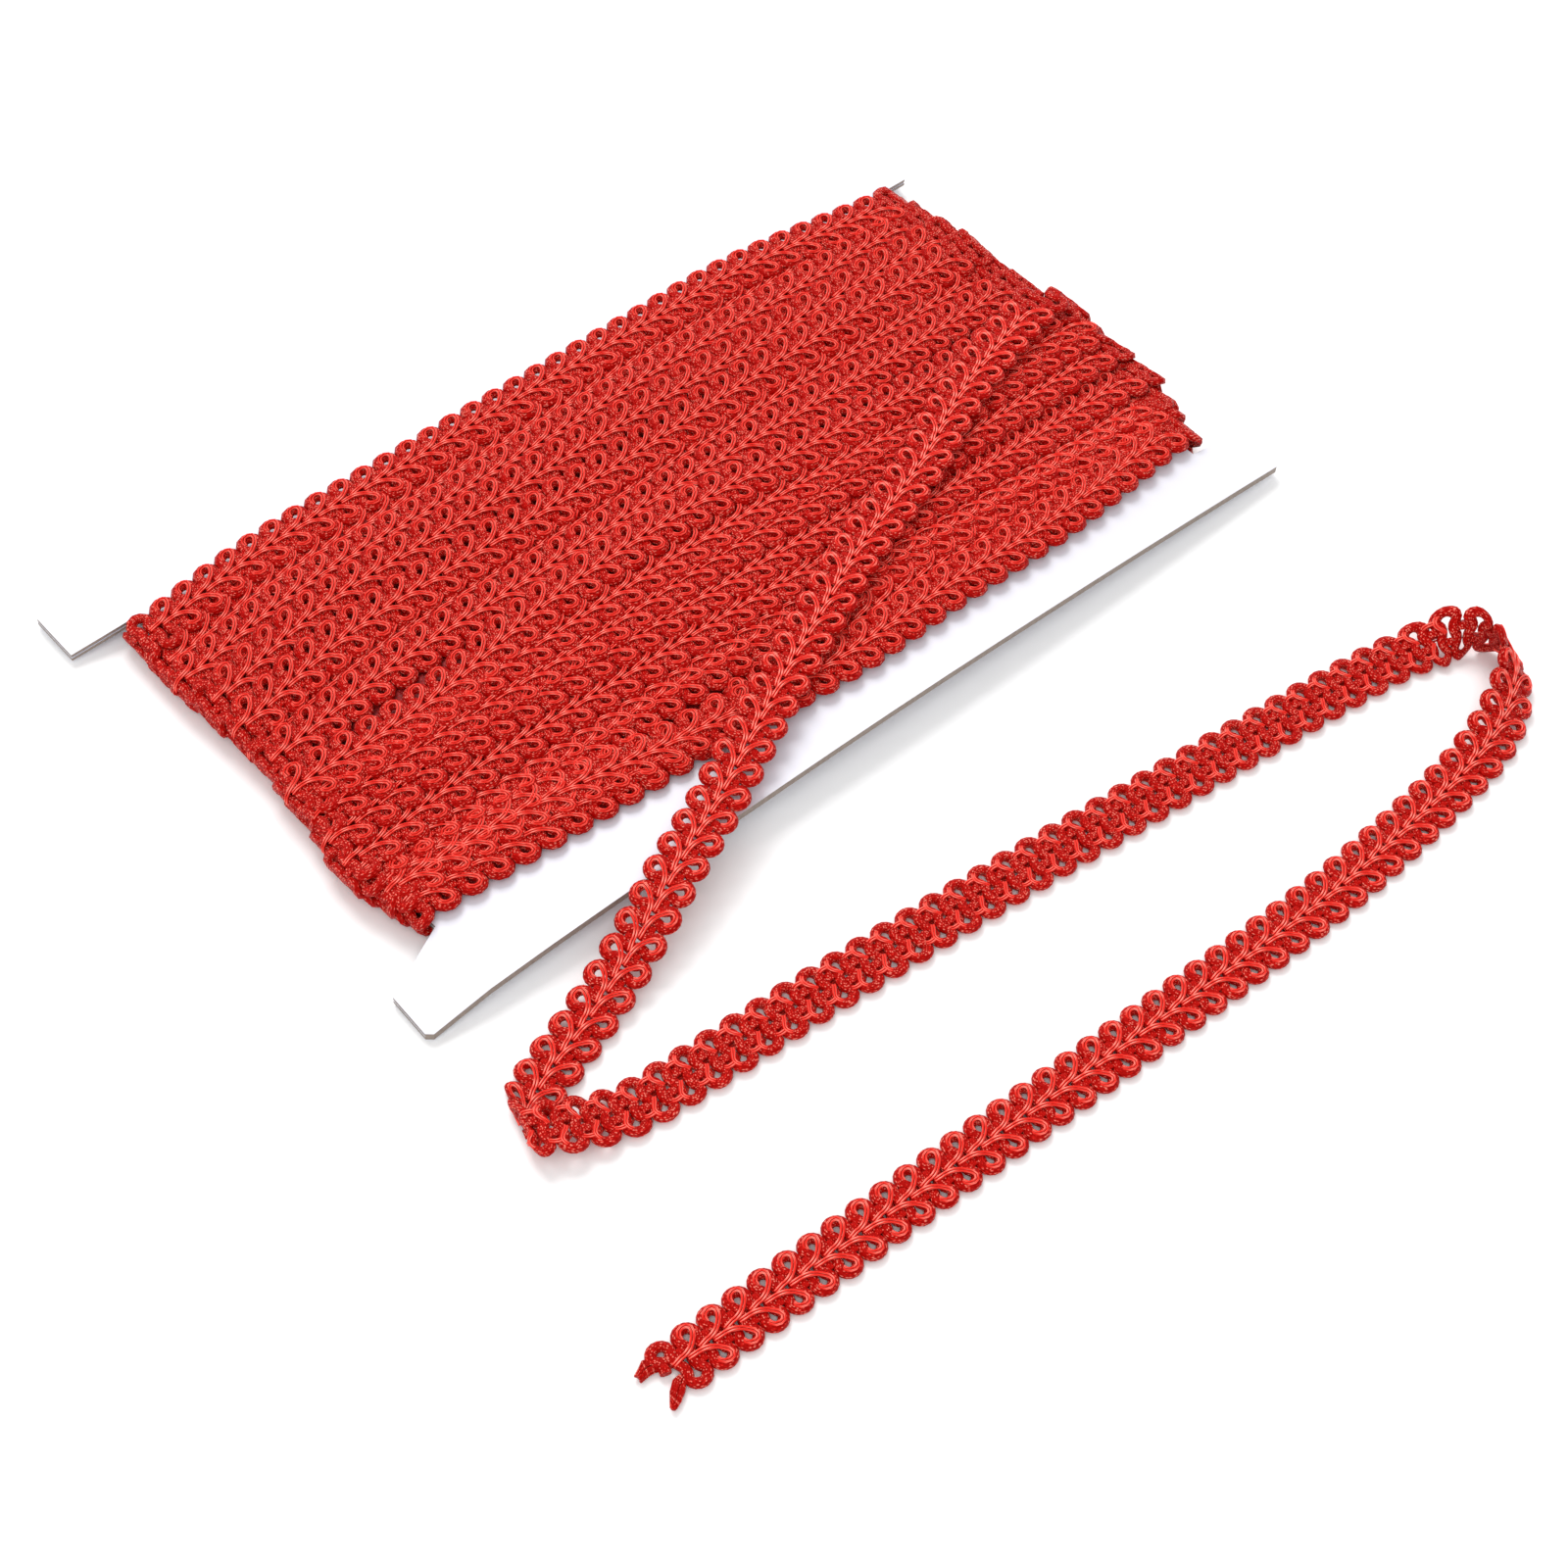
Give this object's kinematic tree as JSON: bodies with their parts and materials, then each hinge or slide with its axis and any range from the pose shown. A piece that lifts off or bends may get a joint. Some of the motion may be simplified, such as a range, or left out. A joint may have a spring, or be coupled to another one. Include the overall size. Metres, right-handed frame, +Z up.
{
  "type": "gimp braid trim wound on a flat card",
  "caption": "Narrow scalloped gimp braid wound in lapping rows round a flat white card, with a loose end that crosses the winding and lies in a long switchback beside it.",
  "frame": {"origin": "on the supporting surface, under the middle of the card", "axes": "+X along the card's length, +Y across it away from the loose end, +Z up"},
  "size_m": [0.2505, 0.2286, 0.0138],
  "materials": {
    "red_viscose_braid": "satin textured yarn",
    "white_card_board": "coated, smooth"
  },
  "bodies": {
    "root": {"card": "white_card_board", "winding": "red_viscose_braid", "loose_end": "red_viscose_braid"}
  },
  "joints": []
}
